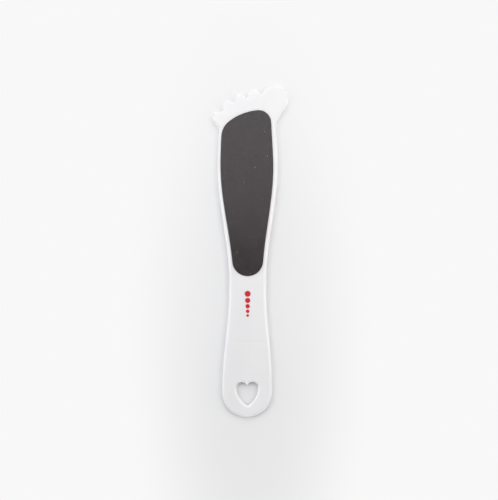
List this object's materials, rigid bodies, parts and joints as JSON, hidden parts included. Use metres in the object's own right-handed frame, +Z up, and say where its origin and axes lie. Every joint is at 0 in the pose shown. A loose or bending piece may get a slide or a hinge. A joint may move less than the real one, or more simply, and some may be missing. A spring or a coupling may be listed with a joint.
{
  "type": "foot file",
  "caption": "Flat foot-shaped paddle with a narrow-waisted handle, a heart-shaped hang hole and an abrasive sheet bonded to each face for smoothing hard skin.",
  "frame": {"origin": "under the middle of the outline's bounding box, on the surface that the file lies on", "axes": "+Y along the file from the handle's end to the toes, +X across it towards the big toe, +Z up out of the coarse face"},
  "size_m": [0.0626, 0.27, 0.0063],
  "materials": {
    "white_plastic": "moulded white plastic with a soft satin gloss",
    "adhesive": "thin translucent pressure-sensitive adhesive",
    "backing": "dark waterproof film, matte, seen only at its cut edge",
    "coarse_grit": "coarse dark grey abrasive grains in a matte resin bond",
    "fine_grit": "fine grey abrasive grains in a matte resin bond"
  },
  "bodies": {
    "root": {"paddle_body": "white_plastic", "coarse_adhesive_film": "adhesive", "coarse_backing_sheet": "backing", "coarse_grit_coat": "coarse_grit", "fine_adhesive_film": "adhesive", "fine_backing_sheet": "backing", "fine_grit_coat": "fine_grit"}
  },
  "joints": []
}
